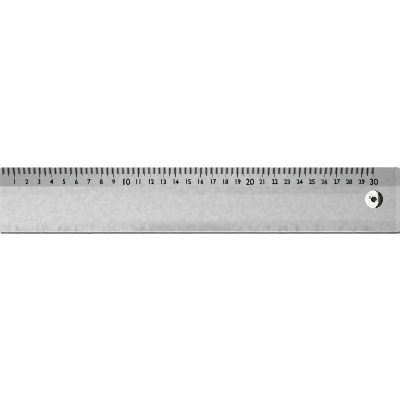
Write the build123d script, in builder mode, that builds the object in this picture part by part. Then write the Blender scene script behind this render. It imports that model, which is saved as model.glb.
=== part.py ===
from build123d import *
from math import atan2, cos, radians, sin, sqrt, tan
import os

# Metal ruler with a 30 centimetre scale, in millimetres.
# An aluminium blade carries printed graduations and figures on a bevelled edge, and a
# domed eyelet lines the hanging hole near its right end.
# X runs along the scale towards the higher figures, Y towards the scale edge, and Z up
# out of the graduated face. The origin is the middle of the underside.

# Blade section
blade_width = 52.0
blade_thickness = 3.0
scale_edge_thickness = 1.0
lower_facet_width = 9.0
lower_facet_drop = 0.7
end_corner_radius = 1.2
edge_chamfer = 0.2

# Scale, read from its zero line
scale_length = 300.0
zero_margin = 1.8
end_margin = 21.2
line_spacing = 1.0
lines_per_centimetre = 10
lines_per_half_centimetre = 5

# Graduation lines, with each length taken from the scale edge
millimetre_line_width = 0.38
half_centimetre_line_width = 0.4
centimetre_line_width = 0.45
millimetre_line_length = 5.5
half_centimetre_line_length = 7.1
centimetre_line_length = 8.4

# Figures, centred under their centimetre lines
figure_height = 3.8
tens_figure_height = 5.0
figure_slenderness = 0.56
figure_stroke = 0.5
figure_gap = 0.5
line_to_figure_gap = 1.0
figure_to_flat_gap = 1.2

# Printed ink, laid on the bevel
print_thickness = 0.05

# Hanging eyelet
eyelet_end_distance = 21.2
eyelet_bore_diameter = 3.2
eyelet_head_diameter = 14.5
eyelet_dome_angle = 36.0
eyelet_rim_height = 0.3
eyelet_lip_radius = 0.9
eyelet_barrel_wall = 1.6
eyelet_tail_spread = 1.3
eyelet_tail_recess = 0.2
eyelet_tail_chamfer = 0.4
countersink_angle = 90.0

# Places that follow from the sizes above
blade_length = zero_margin + scale_length + end_margin
half_width = blade_width / 2
left_end = -blade_length / 2
right_end = blade_length / 2
zero_line = left_end + zero_margin
tallest_figure = max(figure_height, tens_figure_height)
figure_distance = centimetre_line_length + line_to_figure_gap + tallest_figure / 2
scale_bevel_width = figure_distance + tallest_figure / 2 + figure_to_flat_gap
bevel_top = half_width - scale_bevel_width
facet_top = lower_facet_width - half_width
lower_edge_thickness = blade_thickness - lower_facet_drop
eyelet_centre = right_end - eyelet_end_distance
bore_radius = eyelet_bore_diameter / 2
barrel_radius = bore_radius + eyelet_barrel_wall
tail_radius = barrel_radius + eyelet_tail_spread
bevel_slope = atan2(blade_thickness - scale_edge_thickness, scale_bevel_width)

# The scale is drawn on the bevel. There, local x is the distance from the zero line,
# and local y is minus the distance from the scale edge.
bevel_plane = Plane(
    origin=(zero_line, half_width, scale_edge_thickness),
    x_dir=(1, 0, 0),
    z_dir=(0, sin(bevel_slope), cos(bevel_slope)),
)

os.makedirs("parts", exist_ok=True)


# Blade: one extruded section, with a broad bevel to the scale edge and a shallow facet
# to the lower edge. Its hole is countersunk from below for the eyelet's spread tail.
with BuildPart() as blade:
    with BuildSketch(Plane.YZ.offset(left_end)):
        with BuildLine():
            Polyline(
                (-half_width, 0),
                (half_width, 0),
                (half_width, scale_edge_thickness),
                (bevel_top, blade_thickness),
                (facet_top, blade_thickness),
                (-half_width, lower_edge_thickness),
                close=True,
            )
        make_face()
    extrude(amount=blade_length)
    fillet(blade.edges().filter_by(Axis.Z), radius=end_corner_radius)
    walls = blade.faces().filter_by(lambda face: abs(face.normal_at().Z) < 0.001)
    chamfer(walls.edges().filter_by(Axis.Z, reverse=True), length=edge_chamfer)
    with Locations(Location((eyelet_centre, 0, 0), (180, 0, 0))):
        CounterSinkHole(
            radius=barrel_radius,
            counter_sink_radius=tail_radius,
            counter_sink_angle=countersink_angle,
        )

blade.part.label = "blade"
export_step(blade.part, "parts/blade.step")


# Graduation lines: thin bars of ink that start at the inner edge of the blade's chamfer.
def print_lines(distances, width, length):
    with BuildPart() as lines:
        with BuildSketch(bevel_plane):
            with Locations([(distance, -length) for distance in distances]):
                Rectangle(width, length - edge_chamfer, align=(Align.CENTER, Align.MIN))
        extrude(amount=print_thickness)
    return lines


line_count = int(scale_length / line_spacing)
centimetre_places = []
half_centimetre_places = []
millimetre_places = []
for line in range(line_count + 1):
    if line % lines_per_centimetre == 0:
        centimetre_places.append(line * line_spacing)
    elif line % lines_per_half_centimetre == 0:
        half_centimetre_places.append(line * line_spacing)
    else:
        millimetre_places.append(line * line_spacing)

centimetre_lines = print_lines(
    centimetre_places, centimetre_line_width, centimetre_line_length
)
centimetre_lines.part.label = "centimetre_lines"
export_step(centimetre_lines.part, "parts/centimetre_lines.step")

half_centimetre_lines = print_lines(
    half_centimetre_places, half_centimetre_line_width, half_centimetre_line_length
)
half_centimetre_lines.part.label = "half_centimetre_lines"
export_step(half_centimetre_lines.part, "parts/half_centimetre_lines.step")

millimetre_lines = print_lines(
    millimetre_places, millimetre_line_width, millimetre_line_length
)
millimetre_lines.part.label = "millimetre_lines"
export_step(millimetre_lines.part, "parts/millimetre_lines.step")


# Figures: block numerals drawn as strokes of one width, with their corners cut. A path
# is the middle of a stroke, and it keeps half a stroke inside the numeral's box. Only the
# ends of the uprights, the foot of the 7 and the bar of the 4 run on to the box.
def figure_paths(symbol, height):
    foot = height / 2
    side = foot * figure_slenderness
    across = side - figure_stroke / 2
    up = foot - figure_stroke / 2
    cut = 0.7 * across
    flag = 0.8 * across
    stem = 0.45 * across
    tongue = -0.3 * across
    waist = 0.1 * up
    shelf = -0.35 * up
    top_arch = [(-across, up - cut), (cut - across, up), (across - cut, up), (across, up - cut)]
    bottom_arch = [(-x, -y) for x, y in top_arch]
    hook = top_arch[::-1] + [(-across, waist)]
    bowl_top = [(-across, waist), (across - cut, waist), (across, waist - cut)]
    bowl = bowl_top + bottom_arch + bowl_top[:1]
    ring_top = [(cut - across, 0), (across - cut, 0), (across, -cut)]
    ring = ring_top + bottom_arch + [(-across, -cut)] + ring_top[:1]
    paths = {
        "0": [top_arch + bottom_arch + top_arch[:1]],
        "1": [[(-flag, up - flag), (0, up)], [(0, foot), (0, -foot)]],
        "2": [top_arch + [(across, waist), (-across, cut - up), (-across, -up), (across, -up)]],
        "3": [
            top_arch + [(across, cut), (across - cut, 0), (tongue, 0)],
            ring_top[1:] + bottom_arch,
        ],
        "4": [[(stem, up), (-across, shelf), (side, shelf)], [(stem, foot), (stem, -foot)]],
        "5": [[(across, up), (-across, up)] + bowl_top + bottom_arch],
        "6": [hook, bowl],
        "7": [[(-across, up), (across, up), (across, up - cut), (-stem, -foot)]],
        "8": [ring, [(x, -y) for x, y in ring]],
        "9": [[(-x, -y) for x, y in hook], [(-x, -y) for x, y in bowl]],
    }
    return paths[symbol]


def draw_figure(symbol, height):
    with BuildSketch() as drawing:
        for path in figure_paths(symbol, height):
            with BuildLine():
                Polyline(*path)
            trace(line_width=figure_stroke)
    return drawing.sketch


figure_drawings = {
    (symbol, height): draw_figure(symbol, height)
    for symbol in "0123456789"
    for height in (figure_height, tens_figure_height)
}

with BuildPart() as scale_numbers:
    with BuildSketch(bevel_plane):
        for number in range(1, len(centimetre_places)):
            symbols = str(number)
            height = tens_figure_height if symbols.endswith("0") else figure_height
            pitch = height * figure_slenderness + figure_gap
            start = centimetre_places[number] - pitch * (len(symbols) - 1) / 2
            for place, symbol in enumerate(symbols):
                with Locations((start + place * pitch, -figure_distance)):
                    add(figure_drawings[symbol, height])
    extrude(amount=print_thickness)

scale_numbers.part.label = "scale_numbers"
export_step(scale_numbers.part, "parts/scale_numbers.step")


# Hanging eyelet: a domed hollow rivet with a rounded mouth. Its barrel fills the hole,
# and its tail is spread into the countersink, just inside the underside.
head_radius = eyelet_head_diameter / 2
countersink_slope = tan(radians(countersink_angle / 2))
tail_depth = eyelet_tail_spread / countersink_slope
tail_face_radius = tail_radius - eyelet_tail_recess * countersink_slope
rim_top = blade_thickness + eyelet_rim_height
dome_radius = head_radius / sin(radians(eyelet_dome_angle))
dome_centre = rim_top - dome_radius * cos(radians(eyelet_dome_angle))
mouth_top = dome_centre + sqrt(dome_radius**2 - bore_radius**2)
eyelet_plane = Plane(origin=(eyelet_centre, 0, 0), x_dir=(1, 0, 0), z_dir=(0, -1, 0))

with BuildPart() as hanging_eyelet:
    with BuildSketch(eyelet_plane) as eyelet_section:
        with BuildLine():
            Polyline(
                (bore_radius, mouth_top),
                (bore_radius, eyelet_tail_recess + eyelet_tail_chamfer),
                (bore_radius + eyelet_tail_chamfer, eyelet_tail_recess),
                (tail_face_radius, eyelet_tail_recess),
                (barrel_radius, tail_depth),
                (barrel_radius, blade_thickness),
                (head_radius, blade_thickness),
                (head_radius, rim_top),
            )
            RadiusArc((head_radius, rim_top), (bore_radius, mouth_top), -dome_radius)
        make_face()
        fillet(eyelet_section.vertices().sort_by(Axis.Y)[-1], radius=eyelet_lip_radius)
    revolve(axis=Axis((eyelet_centre, 0, 0), (0, 0, 1)))

hanging_eyelet.part.label = "hanging_eyelet"
export_step(hanging_eyelet.part, "parts/hanging_eyelet.step")
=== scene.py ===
# %% [markdown]
# # A metal ruler, seen from straight above
#
# The ruler is one length of anodised aluminium, 323 mm long. A broad bevel runs down to its
# graduated edge, and a shallow facet to the other edge. Black ink makes the scale, and a domed
# nickel eyelet lines the hole that it hangs by.
#
# The blade and the graduation lines come ready made, at their real size, so they only need a
# finish. The figures and the eyelet are modelled here, because their small curves want more
# faces than a plain solid has.

# %% Load the solids
import bpy
from math import atan2, cos, degrees, pi, radians, sin, sqrt, tan
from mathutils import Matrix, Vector


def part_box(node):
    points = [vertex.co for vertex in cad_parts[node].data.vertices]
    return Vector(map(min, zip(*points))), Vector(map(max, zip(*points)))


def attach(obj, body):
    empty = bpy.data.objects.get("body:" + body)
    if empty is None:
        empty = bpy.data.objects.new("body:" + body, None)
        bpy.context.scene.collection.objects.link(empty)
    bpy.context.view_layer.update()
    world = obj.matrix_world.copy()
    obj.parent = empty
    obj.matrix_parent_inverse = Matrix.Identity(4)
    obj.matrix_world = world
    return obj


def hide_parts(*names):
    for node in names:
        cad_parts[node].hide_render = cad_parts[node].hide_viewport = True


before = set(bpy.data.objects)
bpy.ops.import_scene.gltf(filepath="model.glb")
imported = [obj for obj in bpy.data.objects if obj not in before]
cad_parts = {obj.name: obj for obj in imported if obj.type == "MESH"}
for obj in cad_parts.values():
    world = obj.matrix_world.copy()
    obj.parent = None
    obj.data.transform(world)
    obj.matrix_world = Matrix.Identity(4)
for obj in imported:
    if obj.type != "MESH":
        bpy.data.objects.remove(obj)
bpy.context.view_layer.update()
print("solids:", ", ".join(sorted(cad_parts)))

# %% [markdown]
# ## Sizes
#
# Blender counts in metres and a ruler is drawn in millimetres, so one value turns millimetres to
# metres. The edges of the blade and the place of its hole could be typed in, but here they are
# read from the solids' own boxes, so that everything still fits when a solid changes.

# %% Measure the blade and find the hole
MM = 0.001

blade_low, blade_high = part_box("blade")
eyelet_low, eyelet_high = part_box("hanging_eyelet")
eyelet_x = (eyelet_low.x + eyelet_high.x) / 2
blade_size = (blade_high - blade_low) / MM
print(f"blade: {blade_size.x:.1f} by {blade_size.y:.1f} by {blade_size.z:.1f} mm")
print(f"hole: {eyelet_x / MM:.1f} mm right of the middle")

# %% [markdown]
# ## The camera
#
# The view is straight down, and the ruler runs from one side of the picture to the other. A
# camera close to it would see the sides of the blade, so a long lens looks from far off, and
# both ends stay square. The lens isn't guessed: it follows from the camera's height and from the
# width that has to fill the picture, measured at the blade's top face.

# %% Place the camera
CAMERA_HEIGHT = 0.84
FAR_CLIP = 20
SENSOR_WIDTH = 36.0
VIEW_WIDTH = 322.5 * MM
VIEW_CENTRE_Y = -0.5 * MM

camera_data = bpy.data.cameras.new("camera")
camera_data.sensor_width = SENSOR_WIDTH
camera_data.lens = SENSOR_WIDTH * (CAMERA_HEIGHT - blade_high.z) / VIEW_WIDTH
camera_data.clip_end = FAR_CLIP
camera = bpy.data.objects.new("camera", camera_data)
camera.location = (0, VIEW_CENTRE_Y, CAMERA_HEIGHT)
bpy.context.scene.collection.objects.link(camera)
bpy.context.scene.camera = camera
bpy.context.scene.view_settings.view_transform = "Standard"
print(f"camera: {camera_data.lens:.1f} mm lens, {CAMERA_HEIGHT} m up")

# %% [markdown]
# ## Colours and nodes
#
# Colours are written as the sRGB hex values that a paint program shows. Shaders work in linear
# light, so one function changes them, by the formula of the sRGB standard.
#
# A material is a tree of nodes. Making, setting and wiring each one takes several lines, which
# hide the idea, so one function does all of it. Plain values fill the node's open sockets from
# the top down, and named ones go by the socket's name. A value that is itself a node is wired
# from its first open output.

# %% Helpers for materials
SMOOTH_STEP = {"interpolation_type": "SMOOTHSTEP"}
COLOUR_MIX = {"data_type": "RGBA"}
COLOUR_SHADE = {"data_type": "RGBA", "blend_type": "MULTIPLY"}


def linear(hex_colour):
    levels = [int(hex_colour[start:start + 2], 16) / 255 for start in (1, 3, 5)]
    return [
        level / 12.92 if level <= 0.04045 else ((level + 0.055) / 1.055) ** 2.4
        for level in levels
    ] + [1]


def add_node(tree, kind, settings=None, *values, **named_values):
    node = tree.nodes.new("ShaderNode" + kind)
    for name, setting in (settings or {}).items():
        setattr(node, name, setting)
    filled = list(zip([socket for socket in node.inputs if socket.enabled], values))
    for name, value in named_values.items():
        filled.append((node.inputs[name.replace("_", " ")], value))
    for socket, value in filled:
        if isinstance(value, bpy.types.Node):
            value = next(output for output in value.outputs if output.enabled)
        if isinstance(value, bpy.types.NodeSocket):
            tree.links.new(value, socket)
        else:
            socket.default_value = value
    return node


def new_material(name):
    material = bpy.data.materials.new(name)
    material.use_nodes = True
    material.node_tree.nodes.clear()
    return material, material.node_tree


WHITE = linear("#FFFFFF")
print(f"the middle grey #808080 is {linear('#808080')[0]:.3f} in linear light")

# %% [markdown]
# ## The blade's aluminium
#
# The blade is an aluminium extrusion with a fine grain along its length, anodised to a satin
# finish. The eye gets a pale grey with a wide, soft sheen, in which no lamp shows as a spot.
#
# A picture of brushed metal could give the grain, but a noise texture is free of seams and has no
# edge to run out at. Stretched along the blade it makes the grain, and left even it makes the
# faint mottling of an anodised skin. Real grain is finer than a tenth of a millimetre, too fine
# to show in the picture, so it is drawn a few times coarser.

# %% Grain and mottling
GRAIN_LENGTH = 16 * MM
GRAIN_WIDTH = 0.4 * MM
GRAIN_DETAIL = 1.0
MOTTLE_SIZE = 3.7 * MM
MOTTLE_DETAIL = 4.0

anodised_aluminium, tree = new_material("anodised_aluminium")
place = add_node(tree, "TexCoord").outputs["Object"]
along = add_node(tree, "SeparateXYZ", Vector=place).outputs
grain_repeats = (1 / GRAIN_LENGTH, 1 / GRAIN_WIDTH, 1 / GRAIN_WIDTH)
grain_place = add_node(tree, "Mapping", Vector=place, Scale=grain_repeats)
grain = add_node(tree, "TexNoise", Vector=grain_place, Scale=1.0, Detail=GRAIN_DETAIL)
mottle = add_node(tree, "TexNoise", Vector=place, Scale=1 / MOTTLE_SIZE, Detail=MOTTLE_DETAIL)
print(f"grain: {GRAIN_LENGTH / GRAIN_WIDTH:.0f} times as long as wide")

# %% [markdown]
# Fingers have left short smudges along the lower facet. In a stretch near the middle more of the noise is
# darkened: that is painted shade, which stands in for a dimmer reflection of the facet there. The smudges
# could be painted by hand, but then they would need a picture of the whole blade. Here they are a noise
# stretched across the blade, and a mask keeps it on the facet: it fades out towards the facet's upper
# edge, and down the sides of the blade.

# %% Smudges and painted shade on the facet
FACET_WIDTH = 9.0 * MM
SMUDGE_WIDTH = 4 * MM
SMUDGE_LENGTH = 11 * MM
SMUDGE_DETAIL = 1.0
FAINT_SMUDGE = 0.45
FULL_SMUDGE = 0.75
# Painted shade: a darker stretch near the middle of the facet, in place of a dimmer reflection there.
SHADE_STRETCH_X = -9 * MM
SHADE_STRETCH_HALF = 48 * MM
SHADE_STRETCH_STRENGTH = 0.75
FAINT_STRETCH_SHADE = 0.1
FULL_STRETCH_SHADE = 0.5
TOP_SIDE_FROM = 1.0 * MM
TOP_SIDE_FULL = 2.0 * MM

smudge_repeats = (1 / SMUDGE_WIDTH, 1 / SMUDGE_LENGTH, 1 / SMUDGE_LENGTH)
smudge_place = add_node(tree, "Mapping", Vector=place, Scale=smudge_repeats)
smudge = add_node(tree, "TexNoise", Vector=smudge_place, Scale=1.0, Detail=SMUDGE_DETAIL)
# This stretch mask paints shade, not smudges, near the middle of the facet.
from_shade_stretch = add_node(tree, "Math", {"operation": "SUBTRACT"}, along["X"], SHADE_STRETCH_X)
from_shade_stretch = add_node(tree, "Math", {"operation": "ABSOLUTE"}, from_shade_stretch)
in_shade_stretch = add_node(tree, "MapRange", SMOOTH_STEP, from_shade_stretch, SHADE_STRETCH_HALF, SHADE_STRETCH_HALF / 2, 0.0, SHADE_STRETCH_STRENGTH)
painted_shade = add_node(tree, "MapRange", SMOOTH_STEP, smudge, FAINT_STRETCH_SHADE, FULL_STRETCH_SHADE)
painted_shade = add_node(tree, "Math", {"operation": "MULTIPLY"}, painted_shade, in_shade_stretch)
single = add_node(tree, "MapRange", SMOOTH_STEP, smudge, FAINT_SMUDGE, FULL_SMUDGE)
smudges_and_shade = add_node(tree, "Math", {"operation": "MAXIMUM"}, painted_shade, single)
facet_top = blade_low.y + FACET_WIDTH
facet_third = blade_low.y + FACET_WIDTH / 3
on_the_facet = add_node(tree, "MapRange", SMOOTH_STEP, along["Y"], facet_top, facet_third)
smudges_and_shade = add_node(tree, "Math", {"operation": "MULTIPLY"}, smudges_and_shade, on_the_facet)
on_top = add_node(tree, "MapRange", SMOOTH_STEP, along["Z"], TOP_SIDE_FROM, TOP_SIDE_FULL)
smudges_and_shade = add_node(tree, "Math", {"operation": "MULTIPLY"}, smudges_and_shade, on_top)
print(f"held stretch: {2 * SHADE_STRETCH_HALF / MM:.0f} mm long")

# %% [markdown]
# The blade is drawn lighter at its ends and along its long edges, the right end most. A mask could
# be baked from the sharp edges, but on so plain a shape the distance to each edge says as much, and
# needs no baking.

# %% Lighter ends and edges
RIGHT_LIGHTENING_START = 4.14 * MM
RIGHT_LIGHTENING_FULL = 3.06 * MM
LEFT_LIGHTENING_START = 2.16 * MM
LEFT_LIGHTENING_STRENGTH = 0.4
EDGE_LIGHTENING_START = 0.35 * MM

right_start = blade_high.x - RIGHT_LIGHTENING_START
right_full = blade_high.x - RIGHT_LIGHTENING_FULL
right_lightening = add_node(tree, "MapRange", SMOOTH_STEP, along["X"], right_start, right_full)
left_start = blade_low.x + LEFT_LIGHTENING_START
left_lightening = add_node(
    tree, "MapRange", SMOOTH_STEP, along["X"], left_start, blade_low.x, 0.0, LEFT_LIGHTENING_STRENGTH
)
lightened = add_node(tree, "Math", {"operation": "MAXIMUM"}, right_lightening, left_lightening)
off_centre = add_node(tree, "Math", {"operation": "ABSOLUTE"}, along["Y"])
edge_start = blade_high.y - EDGE_LIGHTENING_START
edge_lightening = add_node(tree, "MapRange", SMOOTH_STEP, off_centre, edge_start, blade_high.y)
lightened = add_node(tree, "Math", {"operation": "MAXIMUM"}, lightened, edge_lightening)
print(f"right end: rubbed for {RIGHT_LIGHTENING_START / MM:.1f} mm")

# %% [markdown]
# A strip of the flat beside the bevel is a shade darker than the rest, faintly at the left and
# clearly at the right, and it fades out at the eyelet. This is painted shade. It stands in for the
# dimmer reflection that one more, very shallow facet of the extrusion would give, and the solid stays
# flat. The mask multiplies two slopes across the blade by the lower of two along it, a slow one that
# rises from the left and a short one that falls to nothing at the right.

# %% Painted shade on the strip beside the bevel
BEVEL_WIDTH = 15.6 * MM
STRIP_WIDTH = 6.1 * MM
STRIP_TOP_BLUR = 0.1 * MM
STRIP_FOOT_BLUR = 0.7 * MM
FAINT_STRIP = 0.2
FAINT_STRIP_X = -80 * MM
FULL_STRIP_X = 90 * MM
STRIP_END = 12 * MM
STRIP_END_FADE = 20 * MM

strip_top = blade_high.y - BEVEL_WIDTH
strip_foot = strip_top - STRIP_WIDTH
# The mask of the strip's painted shade, in place of a shallow facet's dimmer reflection.
below_bevel = add_node(tree, "MapRange", SMOOTH_STEP, along["Y"], strip_top + STRIP_TOP_BLUR, strip_top)
above_foot = add_node(
    tree, "MapRange", SMOOTH_STEP, along["Y"], strip_foot - STRIP_FOOT_BLUR, strip_foot + STRIP_FOOT_BLUR
)
strip_painted_shade = add_node(tree, "Math", {"operation": "MULTIPLY"}, above_foot, below_bevel)
strip_painted_shade = add_node(tree, "Math", {"operation": "MULTIPLY"}, strip_painted_shade, on_top)
rising = add_node(tree, "MapRange", SMOOTH_STEP, along["X"], FAINT_STRIP_X, FULL_STRIP_X, FAINT_STRIP, 1.0)
strip_end = blade_high.x - STRIP_END
ending = add_node(tree, "MapRange", SMOOTH_STEP, along["X"], strip_end, strip_end - STRIP_END_FADE)
fading = add_node(tree, "Math", {"operation": "MINIMUM"}, rising, ending)
strip_painted_shade = add_node(tree, "Math", {"operation": "MULTIPLY"}, strip_painted_shade, fading)
print(f"strip: {STRIP_WIDTH / MM:.1f} mm wide, up to {STRIP_END / MM:.0f} mm from the right end")

# %% [markdown]
# The masks now meet in one shader. Each could be a shader of its own, but all of them are the same
# metal, so they only change its colour, from the mottled skin, through the strip's painted shade and
# the smudges with their painted shade, up to the lighter ends. Satin aluminium is near 0.3 in
# roughness, and the grain and mottling move it a little. A noise hardly ever leaves the levels from
# 0.3 to 0.7, so those two are taken as its lowest and highest.

# %% Anodised aluminium
BLADE_COLOUR = "#DEDEDE"
MOTTLED_COLOUR = "#D3D3D3"
# Darker colour for the smudges and for the painted shade near the facet's middle.
SMUDGE_AND_SHADE_COLOUR = "#ADADAD"
LIGHTENED_COLOUR = "#E9E9E9"
# Painted shade: the darker tone of the strip beside the bevel.
STRIP_PAINTED_SHADE = "#F0F0F0"
SMUDGE_AND_SHADE_STRENGTH = 0.6
NOISE_LOW = 0.3
NOISE_HIGH = 0.7
SMOOTH_GRAIN = 0.28
ROUGH_GRAIN = 0.31
MOTTLE_ROUGHNESS = 0.03
RIDGE_STRENGTH = 0.06
RIDGE_DEPTH = 0.01 * MM

mottled = add_node(tree, "MapRange", SMOOTH_STEP, mottle, NOISE_LOW, NOISE_HIGH)
colour = add_node(tree, "Mix", COLOUR_MIX, mottled, linear(BLADE_COLOUR), linear(MOTTLED_COLOUR))
# Painted shade darkens the strip beside the bevel.
colour = add_node(tree, "Mix", COLOUR_SHADE, strip_painted_shade, colour, linear(STRIP_PAINTED_SHADE))
smudges_and_shade = add_node(tree, "Math", {"operation": "MULTIPLY"}, smudges_and_shade, SMUDGE_AND_SHADE_STRENGTH)
colour = add_node(tree, "Mix", COLOUR_MIX, smudges_and_shade, colour, linear(SMUDGE_AND_SHADE_COLOUR))
colour = add_node(tree, "Mix", COLOUR_MIX, lightened, colour, linear(LIGHTENED_COLOUR))
satin = add_node(
    tree, "MapRange", SMOOTH_STEP, grain, NOISE_LOW, NOISE_HIGH, SMOOTH_GRAIN, ROUGH_GRAIN
)
uneven = add_node(tree, "MapRange", SMOOTH_STEP, mottle, NOISE_LOW, NOISE_HIGH, 0.0, MOTTLE_ROUGHNESS)
roughness = add_node(tree, "Math", {"operation": "ADD"}, satin, uneven)
ridges = add_node(tree, "Bump", Height=grain, Strength=RIDGE_STRENGTH, Distance=RIDGE_DEPTH)
metal = add_node(tree, "BsdfPrincipled", Base_Color=colour, Metallic=1.0, Roughness=roughness, Normal=ridges)
add_node(tree, "OutputMaterial", Surface=metal)
print(anodised_aluminium.name, "has", len(tree.nodes), "nodes")

# %% [markdown]
# ## The ink
#
# The scale is screen-printed in matt black ink. The eye gets a flat black that hardly shines, and
# that is a little thinner in places. Ink could be one plain colour, and from a step away it
# looks so, but a close view wants the uneven film that a screen leaves. The threads of a real
# screen are about a tenth of a millimetre apart, too fine to show, so the film's unevenness is
# drawn five times coarser.

# %% Matt ink
INK_COLOUR = "#0C0C0C"
THIN_INK_COLOUR = "#2B2B2B"
FILM_SIZE = 0.5 * MM
FILM_DETAIL = 1.0
THIN_FROM = 0.5
THINNEST = 0.8
THICK_ROUGHNESS = 0.62
THIN_ROUGHNESS = 0.78
FILM_STRENGTH = 0.1
FILM_DEPTH = 0.01 * MM
INK_SPECULAR = 0.2

matt_ink, tree = new_material("matt_ink")
place = add_node(tree, "TexCoord").outputs["Object"]
film = add_node(tree, "TexNoise", Vector=place, Scale=1 / FILM_SIZE, Detail=FILM_DETAIL)
thin = add_node(tree, "MapRange", SMOOTH_STEP, film, THIN_FROM, THINNEST)
colour = add_node(tree, "Mix", COLOUR_MIX, thin, linear(INK_COLOUR), linear(THIN_INK_COLOUR))
roughness = add_node(
    tree, "MapRange", SMOOTH_STEP, film, NOISE_LOW, NOISE_HIGH, THICK_ROUGHNESS, THIN_ROUGHNESS
)
uneven = add_node(tree, "Bump", Height=film, Strength=FILM_STRENGTH, Distance=FILM_DEPTH)
ink = add_node(tree, "BsdfPrincipled", Base_Color=colour, Roughness=roughness, Normal=uneven)
ink.inputs["Specular IOR Level"].default_value = INK_SPECULAR
add_node(tree, "OutputMaterial", Surface=ink)
print(matt_ink.name, "has", len(tree.nodes), "nodes")

# %% [markdown]
# ## The eyelet's nickel
#
# The eyelet is plated with nickel and polished. The eye gets a mirror, faintly clouded where it has
# tarnished. Towards the mouth it is worn duller, as a nail would leave it. Down the bore it is painted
# black. This is painted shade, where the bore lies in shade, and it reaches further on the left of the
# bore than on the right.
#
# The painted shade could be a second piece inside the bore, but it needs no thickness, so it is
# drawn by its distance from an upright line a little left of the bore's axis. A Mapping node moves
# that line to zero and flattens the height, and what is left of the place's length is the distance.

# %% Painted shade, wear and tarnish
# Painted shade in the bore: black within these radii of a line shifted left of the axis.
SHADE_SHIFT = 0.7 * MM
SHADE_EDGE_RADIUS = 2.35 * MM
FULL_SHADE_RADIUS = 1.95 * MM
WORN_RADIUS = 5.5 * MM
WORN_ROUGHNESS = 0.16
CLOUD_SIZE = 3 * MM
CLOUD_DETAIL = 2.0

polished_nickel, tree = new_material("polished_nickel")
place = add_node(tree, "TexCoord").outputs["Object"]
axis = (SHADE_SHIFT - eyelet_x, 0, 0)
off_axis = add_node(tree, "Mapping", Vector=place, Location=axis, Scale=(1, 1, 0))
radius = add_node(tree, "VectorMath", {"operation": "LENGTH"}, off_axis)
# Painted shade: black down the bore, where it lies in shade.
bore_shade = add_node(tree, "MapRange", SMOOTH_STEP, radius, SHADE_EDGE_RADIUS, FULL_SHADE_RADIUS)
worn = add_node(tree, "MapRange", SMOOTH_STEP, radius, WORN_RADIUS, SHADE_EDGE_RADIUS, 0.0, WORN_ROUGHNESS)
clouds = add_node(tree, "TexNoise", Vector=place, Scale=1 / CLOUD_SIZE, Detail=CLOUD_DETAIL)
print(f"grime: within {FULL_SHADE_RADIUS / MM:.2f} mm of a line {SHADE_SHIFT / MM:.1f} mm left of the axis")

# %% [markdown]
# Polished nickel is near 0.1 in roughness. The painted shade isn't metal, so where it lies the
# shader's metallic value falls to nothing and the roughness rises.

# %% Polished nickel
NICKEL_COLOUR = "#FAFAF9"
TARNISHED_COLOUR = "#EBEAE7"
# Colour of the painted shade in the bore.
BORE_SHADE_COLOUR = "#060606"
CLOUDED_FROM = 0.4
CLOUDED_FULL = 0.75
POLISHED_ROUGHNESS = 0.06
CLOUDED_ROUGHNESS = 0.11
BORE_SHADE_ROUGHNESS = 0.5
BORE_SHADE_SPECULAR = 0.1

clouded = add_node(tree, "MapRange", SMOOTH_STEP, clouds, CLOUDED_FROM, CLOUDED_FULL)
colour = add_node(tree, "Mix", COLOUR_MIX, clouded, linear(NICKEL_COLOUR), linear(TARNISHED_COLOUR))
# The bore's painted shade goes into the colour here.
colour = add_node(tree, "Mix", COLOUR_MIX, bore_shade, colour, linear(BORE_SHADE_COLOUR))
polish = add_node(
    tree, "MapRange", SMOOTH_STEP, clouds, NOISE_LOW, NOISE_HIGH, POLISHED_ROUGHNESS, CLOUDED_ROUGHNESS
)
roughness = add_node(tree, "Math", {"operation": "ADD"}, polish, worn)
roughness = add_node(tree, "Math", {"operation": "MULTIPLY_ADD"}, bore_shade, BORE_SHADE_ROUGHNESS, roughness)
metallic = add_node(tree, "Math", {"operation": "SUBTRACT"}, 1.0, bore_shade)
plate = add_node(tree, "BsdfPrincipled", Base_Color=colour, Metallic=metallic, Roughness=roughness)
plate.inputs["Specular IOR Level"].default_value = BORE_SHADE_SPECULAR
add_node(tree, "OutputMaterial", Surface=plate)
print(polished_nickel.name, "has", len(tree.nodes), "nodes")

# %% [markdown]
# ## Dressing the solids
#
# Each solid arrives with a plain material of its own. A new slot could be added beside it, but
# then every face would have to be moved to it, so the real finish takes the place of the plain
# one. The last two solids get pieces of their own further on, and are dressed all the same.

# %% Dress the solids
FINISHES = {
    "blade": anodised_aluminium,
    "centimetre_lines": matt_ink,
    "half_centimetre_lines": matt_ink,
    "millimetre_lines": matt_ink,
    "scale_numbers": matt_ink,
    "hanging_eyelet": polished_nickel,
}
for name, material in FINISHES.items():
    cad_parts[name].material_slots[0].material = material
    print(name, "is", material.name)

# %% [markdown]
# ## The figures
#
# The numbers 1 to 30 are printed on the bevel, each centred under its centimetre line. To set them
# there, three things are worked out first: where the zero line meets the scale edge, which way is
# down the slope from that edge, and which way stands out of the slope.

# %% Find the bevel
SCALE_EDGE_THICKNESS = 1.0 * MM
ZERO_MARGIN = 1.8 * MM

bevel_slope = atan2(blade_high.z - SCALE_EDGE_THICKNESS, BEVEL_WIDTH)
down_the_slope = Vector((0, -cos(bevel_slope), sin(bevel_slope)))
out_of_the_slope = Vector((0, sin(bevel_slope), cos(bevel_slope)))
scale_zero = Vector((blade_low.x + ZERO_MARGIN, blade_high.y, SCALE_EDGE_THICKNESS))
print(f"the bevel slopes {degrees(bevel_slope):.1f} degrees")

# %% [markdown]
# The figures could be drawn stroke by stroke, as the plain solids are, but a text object gives
# real numerals with round bowls. The tens are larger than the rest. Every outline is moved out a
# little, which makes the strokes bold enough to read in a small picture, and each figure about
# 0.4 mm taller than its solid.
#
# Centred text leaves room for the tails of letters, so figures sit a little high in it. Each number
# is set lower by that share of its size.

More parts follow.
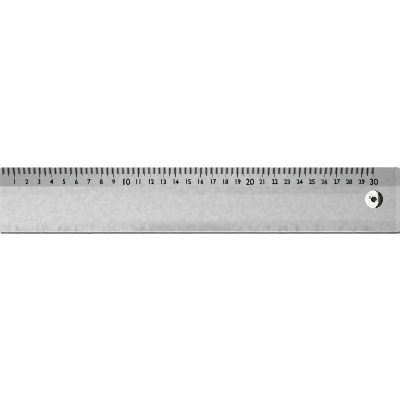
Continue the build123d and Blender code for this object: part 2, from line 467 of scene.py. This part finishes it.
# %% Set the numbers
CENTIMETRE = 10 * MM
LAST_NUMBER = 30
FIGURE_DISTANCE = 11.9 * MM
FIGURE_HEIGHT = 3.8 * MM
TENS_FIGURE_HEIGHT = 5.0 * MM
FIGURE_NARROWING = 0.92
FIGURE_BOLDNESS = 0.2 * MM
HEIGHT_OF_TEXT_SIZE = 0.69
TEXT_CENTRE_RISE = 0.042
CURVE_STEPS = 5
INK_THICKNESS = 0.05 * MM

bpy.ops.object.select_all(action="DESELECT")
numbers = []
for number in range(1, LAST_NUMBER + 1):
    height = FIGURE_HEIGHT if number % 10 else TENS_FIGURE_HEIGHT
    text_size = height / HEIGHT_OF_TEXT_SIZE
    spot = scale_zero + Vector((number * CENTIMETRE, 0, 0))
    spot += (FIGURE_DISTANCE + TEXT_CENTRE_RISE * text_size) * down_the_slope
    spot += INK_THICKNESS / 2 * out_of_the_slope
    bpy.ops.object.text_add(location=spot, rotation=(-bevel_slope, 0, 0))
    text = bpy.context.object
    text.data.body = str(number)
    text.data.align_x = "CENTER"
    text.data.align_y = "CENTER"
    text.data.size = text_size
    text.data.extrude = INK_THICKNESS / 2
    text.data.resolution_u = CURVE_STEPS
    text.data.offset = FIGURE_BOLDNESS
    text.scale = (FIGURE_NARROWING, 1, 1)
    numbers.append(text)
print("numbers:", numbers[0].data.body, "to", numbers[-1].data.body)

# %% [markdown]
# Thirty text objects would be hard to hand on, so they are turned into meshes and joined to one.
# Their places are applied, so that this mesh is measured from the same origin as the solids.
# Converted text has its front, back and sides apart, and the merge closes each figure.

# %% Join the figures
FIGURE_MERGE = 0.002 * MM

for text in numbers:
    text.select_set(True)
bpy.context.view_layer.objects.active = numbers[0]
bpy.ops.object.convert(target="MESH")
bpy.ops.object.join()
figures = bpy.context.object
figures.name = "figures"
bpy.ops.object.transform_apply(location=True, rotation=True, scale=True)
bpy.ops.object.mode_set(mode="EDIT")
bpy.ops.mesh.select_all(action="SELECT")
bpy.ops.mesh.remove_doubles(threshold=FIGURE_MERGE)
bpy.ops.mesh.normals_make_consistent(inside=False)
bpy.ops.object.mode_set(mode="OBJECT")
figures.data.materials.clear()
figures.data.materials.append(matt_ink)
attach(figures, "root")
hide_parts("scale_numbers")
print("figures:", len(figures.data.polygons), "faces")

# %% [markdown]
# ## The eyelet
#
# The eyelet is a hollow rivet with a domed head. Its barrel fills the blade's hole, and its tail is
# spread into a countersink on the underside. Two cylinders and part of a sphere could be cut out
# of each other, but every join would need cleaning. The eyelet is round about one axis, like a
# piece from a lathe, so half of its section is drawn and spun round that axis.
#
# The points run up the bore, over the rounded mouth and the dome to the rim, and back under the
# head to the tail. Round stretches are arcs, each one meeting the next where both have the same
# direction.

# %% Draw half of the eyelet's section
BORE_RADIUS = 1.6 * MM
HEAD_RADIUS = 7.25 * MM
RIM_HEIGHT = 0.3 * MM
RIM_ROUND = 0.12 * MM
DOME_ANGLE = radians(36)
LIP_RADIUS = 0.9 * MM
BARREL_RADIUS = 3.2 * MM
TAIL_RADIUS = 4.5 * MM
TAIL_RECESS = 0.2 * MM
TAIL_CHAMFER = 0.4 * MM
LIP_STEPS = 12
DOME_STEPS = 24
RIM_STEPS = 4


def arc(centre, radius, start, end, steps):
    turns = [start + (end - start) * step / steps for step in range(steps + 1)]
    return [(centre[0] + radius * cos(turn), centre[1] + radius * sin(turn)) for turn in turns]


dome_radius = HEAD_RADIUS / sin(DOME_ANGLE)
dome_centre = blade_high.z + RIM_HEIGHT - dome_radius * cos(DOME_ANGLE)
lip_r = BORE_RADIUS + LIP_RADIUS
lip_z = dome_centre + sqrt((dome_radius - LIP_RADIUS) ** 2 - lip_r ** 2)
lip_end = atan2(lip_z - dome_centre, lip_r)
rim_r = HEAD_RADIUS - RIM_ROUND
rim_z = dome_centre + sqrt((dome_radius - RIM_ROUND) ** 2 - rim_r ** 2)
rim_end = atan2(rim_z - dome_centre, rim_r)
section = [
    (BORE_RADIUS, TAIL_RECESS + TAIL_CHAMFER),
    *arc((lip_r, lip_z), LIP_RADIUS, pi, lip_end, LIP_STEPS),
    *arc((0, dome_centre), dome_radius, lip_end, rim_end, DOME_STEPS)[1:],
    *arc((rim_r, rim_z), RIM_ROUND, rim_end, 0, RIM_STEPS)[1:],
    (HEAD_RADIUS, blade_high.z),
    (BARREL_RADIUS, blade_high.z),
    (BARREL_RADIUS, TAIL_RADIUS - BARREL_RADIUS),
    (TAIL_RADIUS - TAIL_RECESS, TAIL_RECESS),
    (BORE_RADIUS + TAIL_CHAMFER, TAIL_RECESS),
]
print(len(section), "points; top of the lip at", round((lip_z + LIP_RADIUS) / MM, 2), "mm")

# %% [markdown]
# Extruding a point draws a line, so a small plane is merged to one point at the section's start and
# then extruded from each point of the section to the next. The last step comes back to the start,
# where the doubles are merged, and again after the spin, which ends where it began. A spin can
# turn the faces inside out, so the normals are worked out afresh.

# %% Turn the eyelet
START_SIZE = 1.0 * MM
TURNING_STEPS = 112
EYELET_MERGE = 0.001 * MM
SMOOTH_BELOW = radians(30)

bpy.ops.object.select_all(action="DESELECT")
section_start = (eyelet_x + section[0][0], 0, section[0][1])
bpy.ops.mesh.primitive_plane_add(size=START_SIZE, location=section_start)
eyelet = bpy.context.object
eyelet.name = "eyelet"
bpy.ops.object.transform_apply(location=True, rotation=True, scale=True)
bpy.ops.object.mode_set(mode="EDIT")
bpy.ops.mesh.select_mode(type="VERT")
bpy.ops.mesh.select_all(action="SELECT")
bpy.ops.mesh.merge(type="CENTER")
for here, there in zip(section, section[1:] + section[:1]):
    step = (there[0] - here[0], 0, there[1] - here[1])
    bpy.ops.mesh.extrude_region_move(TRANSFORM_OT_translate={"value": step})
bpy.ops.mesh.select_all(action="SELECT")
bpy.ops.mesh.remove_doubles(threshold=EYELET_MERGE)
bpy.ops.mesh.spin(steps=TURNING_STEPS, angle=2 * pi, center=(eyelet_x, 0, 0), axis=(0, 0, 1))
bpy.ops.mesh.select_all(action="SELECT")
bpy.ops.mesh.remove_doubles(threshold=EYELET_MERGE)
bpy.ops.mesh.normals_make_consistent(inside=False)
bpy.ops.object.mode_set(mode="OBJECT")
bpy.ops.object.shade_smooth_by_angle(angle=SMOOTH_BELOW)
eyelet.data.materials.append(polished_nickel)
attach(eyelet, "root")
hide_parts("hanging_eyelet")
print("eyelet:", len(eyelet.data.polygons), "faces")

# %% [markdown]
# ## The floor
#
# The ruler lies on white paper, and the paper has to stay white as far as a low camera sees it. A
# curved backdrop with many lamps could do that, but the metal would mirror all of them. Here the
# sheet is flat and large, and it glows white far from the ruler. Only the camera and the mirrors
# see the glow, so it lights nothing. Paper gives the eye a flat white with no shine.
#
# The sheet lies a hair under the blade, so that two faces never share one place. Real paper fibres
# are too fine to show, and are drawn coarser.

# %% Floor
FLOOR_SIZE = 5.0
FLOOR_GAP = 0.02 * MM
FLOOR_COLOUR = "#F4F4F4"
FIBRE_SIZE = 2 * MM
FIBRE_DETAIL = 2.0
FIBRE_STRENGTH = 0.1
FIBRE_DEPTH = 0.02 * MM
BACKDROP_START = 0.25
BACKDROP_FULL = 0.9


def seen(tree):
    path = add_node(tree, "LightPath").outputs
    direct = add_node(tree, "Math", {"operation": "MAXIMUM"}, path["Is Camera Ray"], path["Is Glossy Ray"])
    return add_node(tree, "Math", {"operation": "MAXIMUM"}, direct, path["Is Transmission Ray"])


white_paper, tree = new_material("white_paper")
place = add_node(tree, "TexCoord").outputs["Object"]
fibres = add_node(tree, "TexNoise", Vector=place, Scale=1 / FIBRE_SIZE, Detail=FIBRE_DETAIL)
tooth = add_node(tree, "Bump", Height=fibres, Strength=FIBRE_STRENGTH, Distance=FIBRE_DEPTH)
paper = add_node(tree, "BsdfDiffuse", Color=linear(FLOOR_COLOUR), Normal=tooth)
distance = add_node(tree, "VectorMath", {"operation": "LENGTH"}, place)
far_off = add_node(tree, "MapRange", SMOOTH_STEP, distance, BACKDROP_START, BACKDROP_FULL)
strength = add_node(tree, "Math", {"operation": "MULTIPLY"}, far_off, seen(tree))
backdrop = add_node(tree, "Emission", Color=WHITE, Strength=strength)
both = add_node(tree, "AddShader", None, paper, backdrop)
add_node(tree, "OutputMaterial", Surface=both)

bpy.ops.object.select_all(action="DESELECT")
bpy.ops.mesh.primitive_plane_add(size=FLOOR_SIZE, location=(0, 0, -FLOOR_GAP))
floor = bpy.context.object
floor.name = "floor"
floor.data.materials.append(white_paper)
print(f"floor: {FLOOR_SIZE} m square, {FLOOR_GAP / MM} mm under the blade")

# %% [markdown]
# ## The world
#
# Round the stage is a white room. It could light the ruler all by itself, but light from
# everywhere leaves no shadow. So the camera and the mirrors see it white, and what it lends to
# the paper and the ink is only a faint fill.

# %% World
AMBIENT = 0.09
ROOM_BRIGHTNESS = 1.0

world = bpy.data.worlds.new("studio")
bpy.context.scene.world = world
world.use_nodes = True
tree = world.node_tree
tree.nodes.clear()
fill = add_node(tree, "Background", Color=WHITE, Strength=AMBIENT)
room = add_node(tree, "Background", Color=WHITE, Strength=ROOM_BRIGHTNESS)
mixed = add_node(tree, "MixShader", None, seen(tree), fill, room)
add_node(tree, "OutputWorld", Surface=mixed)
print(f"world: {AMBIENT} of white as fill")

# %% [markdown]
# ## The cards
#
# Metal has no tone of its own: it shows what it mirrors. The tones of the blade's three faces could
# be forced by three colours, but they would stay the same when the ruler turns. A photographer
# hangs cards above the metal, and so does this scene. The flat mirrors the overhead card, and the
# bevel the back card. The facet mirrors the line where the overhead card meets a dimmer front card,
# and takes a tone between theirs. A black flag above them all darkens the gaps.
#
# A card glows, evenly or more at one end than at the other. Only mirrors see it: it casts no
# shadow, and lights no paper.

# %% A function for cards
PLANE_SIZE = 1.0


def add_card(name, centre, size, left_level, right_level, facing=None):
    bpy.ops.object.select_all(action="DESELECT")
    bpy.ops.mesh.primitive_plane_add(size=PLANE_SIZE, location=(0, 0, 0))
    card = bpy.context.object
    card.name = name
    card.scale = (*size, 1)
    card.location = centre
    if facing:
        card.rotation_euler = (Vector(facing) - Vector(centre)).to_track_quat("Z", "Y").to_euler()
    material, tree = new_material(name)
    place = add_node(tree, "TexCoord").outputs["Object"]
    across = add_node(tree, "SeparateXYZ", Vector=place).outputs["X"]
    left_edge = -PLANE_SIZE / 2
    right_edge = PLANE_SIZE / 2
    level = add_node(tree, "MapRange", None, across, left_edge, right_edge, left_level, right_level)
    glow = add_node(tree, "Emission", Color=WHITE, Strength=level)
    add_node(tree, "OutputMaterial", Surface=glow)
    card.data.materials.append(material)
    card.visible_camera = False
    card.visible_diffuse = False
    card.visible_shadow = False
    card.visible_transmission = False
    card.visible_volume_scatter = False
    print(f"{name}: {size[0]:.3f} by {size[1]:.3f} m")
    return card


# %% [markdown]
# The cards hang flat. They could hang near the ruler and be small, but the satin metal would then
# show where each card ends, so they hang high and are large. The overhead card is brightest at its
# left and is turned a little, which gives the flat its slow change of tone.

# %% Hang the cards
CEILING = 1.2
FLAG_GAP = 0.01
STAGE_LEFT = -0.6
STAGE_RIGHT = 0.6
OVERHEAD_TURN = radians(5)


def hang_card(name, left, right, front, back, left_level, right_level, height=CEILING):
    centre = ((left + right) / 2, (front + back) / 2, height)
    return add_card(name, centre, (right - left, back - front), left_level, right_level)


overhead = hang_card(
    "overhead_card", STAGE_LEFT, STAGE_RIGHT, front=-0.25, back=0.11, left_level=1.54, right_level=0.64
)
overhead.rotation_euler.z = OVERHEAD_TURN
hang_card(
    "front_card", STAGE_LEFT, STAGE_RIGHT, front=-0.45, back=-0.25, left_level=0.5, right_level=0.15
)
hang_card("back_card", left=-0.26, right=0.26, front=0.2, back=0.6, left_level=1.0, right_level=0.86)
hang_card(
    "black_flag", STAGE_LEFT, STAGE_RIGHT, front=-0.45, back=0.6, left_level=0, right_level=0,
    height=CEILING + FLAG_GAP,
)

# %% [markdown]
# ## The dark screen
#
# In the eyelet the right of the dome is a dark crescent. It could be painted on, but a dome that
# mirrors something dark gives it the right shape at once. A folding screen of panels stands round
# the right end, highest in its middle, and a grey card in front of it lightens the crescent's
# middle. A dome's slope says which way each of its points looks, so a panel is given by two angles:
# how far it stands turned round the eyelet, and how far up it reaches, seen from there. One panel
# near the back is paler, because the crescent's upper tip is.

# %% Dark screen
SCREEN_DISTANCE = 0.065
PANEL_WIDTH = 0.026
PANEL_LEVEL = 0.028
PANEL_TOPS = {-76: 24, -57: 33, -38: 41.5, -19: 50.5, 0: 53.3, 19: 50.5, 38: 41.8, 56: 28, 70: 19}
PALE_PANEL = 56
PALE_LEVEL = 0.12
GREY_DISTANCE = 0.06
GREY_WIDTH = 0.036
GREY_FOOT = 39
GREY_TOP = 57.5
GREY_LEVEL = 0.10


def stand_card(name, turn, distance, width, foot, top, level):
    foot, top = (distance * tan(radians(angle)) for angle in (foot, top))
    centre = Vector((eyelet_x, 0, (foot + top) / 2))
    centre += distance * Vector((cos(radians(turn)), sin(radians(turn)), 0))
    add_card(name, centre, (width, top - foot), level, level, facing=(eyelet_x, 0, centre.z))


for turn, top in PANEL_TOPS.items():
    level = PALE_LEVEL if turn == PALE_PANEL else PANEL_LEVEL
    stand_card(f"dark_panel_{turn % 360}", turn, SCREEN_DISTANCE, PANEL_WIDTH, 0, top, level)
stand_card("grey_card", 0, GREY_DISTANCE, GREY_WIDTH, GREY_FOOT, GREY_TOP, GREY_LEVEL)

# %% [markdown]
# ## The key light
#
# One soft lamp hangs behind the ruler, so a narrow shadow falls under its lower edge. A sun would
# cut that shadow hard and a large softbox would blur it away, so the lamp is a disk of middling
# size. The cards already make the reflections, so the mirrors don't see the lamp. A narrow pixel
# filter keeps the thin lines of the scale crisp.

# %% Key light
KEY_PLACE = (-0.2, 1.35, 1.6)
KEY_SIZE = 0.36
KEY_POWER = 76.0
PIXEL_FILTER_WIDTH = 0.45

key_data = bpy.data.lights.new("key", "AREA")
key_data.shape = "DISK"
key_data.size = KEY_SIZE
key_data.energy = KEY_POWER
key = bpy.data.objects.new("key", key_data)
key.location = KEY_PLACE
key.rotation_euler = Vector(KEY_PLACE).to_track_quat("Z", "Y").to_euler()
key.visible_glossy = False
bpy.context.scene.collection.objects.link(key)
bpy.context.scene.cycles.filter_width = PIXEL_FILTER_WIDTH
print(f"key light: {KEY_POWER:.0f} W, {Vector(KEY_PLACE).length:.2f} m from the ruler's middle")
